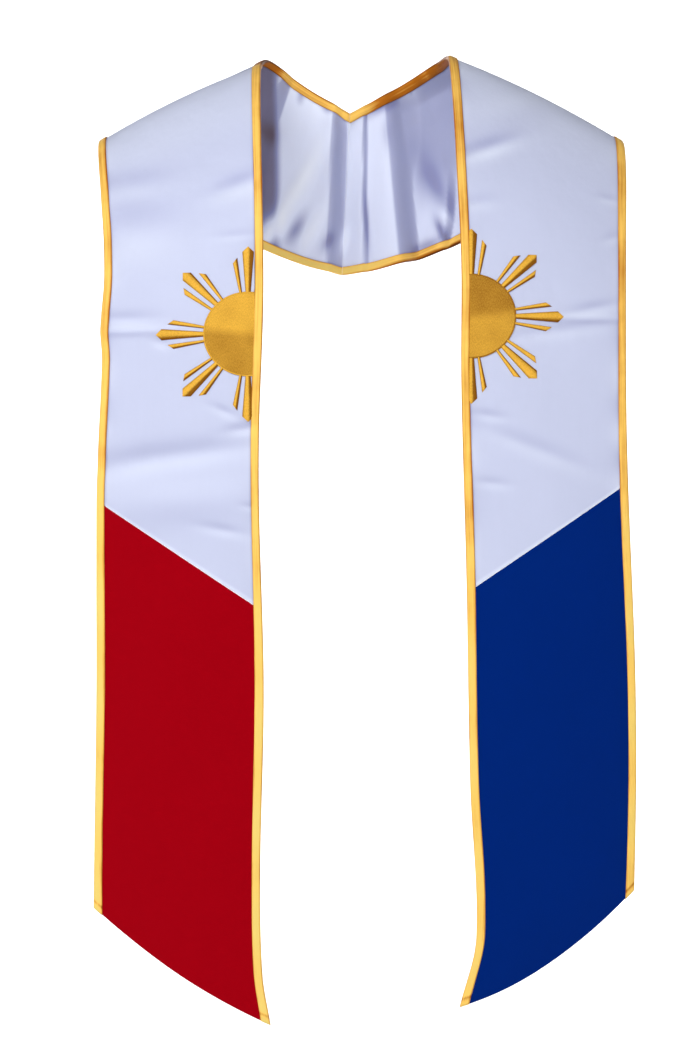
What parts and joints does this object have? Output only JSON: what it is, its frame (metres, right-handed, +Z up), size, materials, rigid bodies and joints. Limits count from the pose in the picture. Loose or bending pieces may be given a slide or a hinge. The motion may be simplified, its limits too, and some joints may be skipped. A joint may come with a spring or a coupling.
{
  "type": "graduation stole",
  "caption": "Worn graduation stole: white satin over the shoulders, a red and a blue lower end, folded gold edge binding and an embroidered half sun on each front.",
  "frame": {"origin": "midway between the two points where the neckline crosses the top of the shoulders, where the stole rests on its wearer", "axes": "+Z up, -Y the way the wearer faces, +X to the wearer's left"},
  "size_m": [0.4514, 0.2106, 0.8161],
  "materials": {
    "white_satin": "cool white satin with a soft sheen",
    "red_satin": "deep red satin",
    "blue_satin": "deep blue satin",
    "gold_satin": "golden yellow satin tape, folded over the edge",
    "gold_thread": "golden embroidery thread in satin and filling stitch"
  },
  "bodies": {
    "root": {"white_cloth_right": "white_satin", "white_cloth_left": "white_satin", "red_cloth_right": "red_satin", "blue_cloth_left": "blue_satin", "inner_binding_right": "gold_satin", "inner_binding_left": "gold_satin", "outer_binding_right": "gold_satin", "outer_binding_left": "gold_satin", "half_sun_right": "gold_thread", "half_sun_left": "gold_thread"}
  },
  "joints": []
}
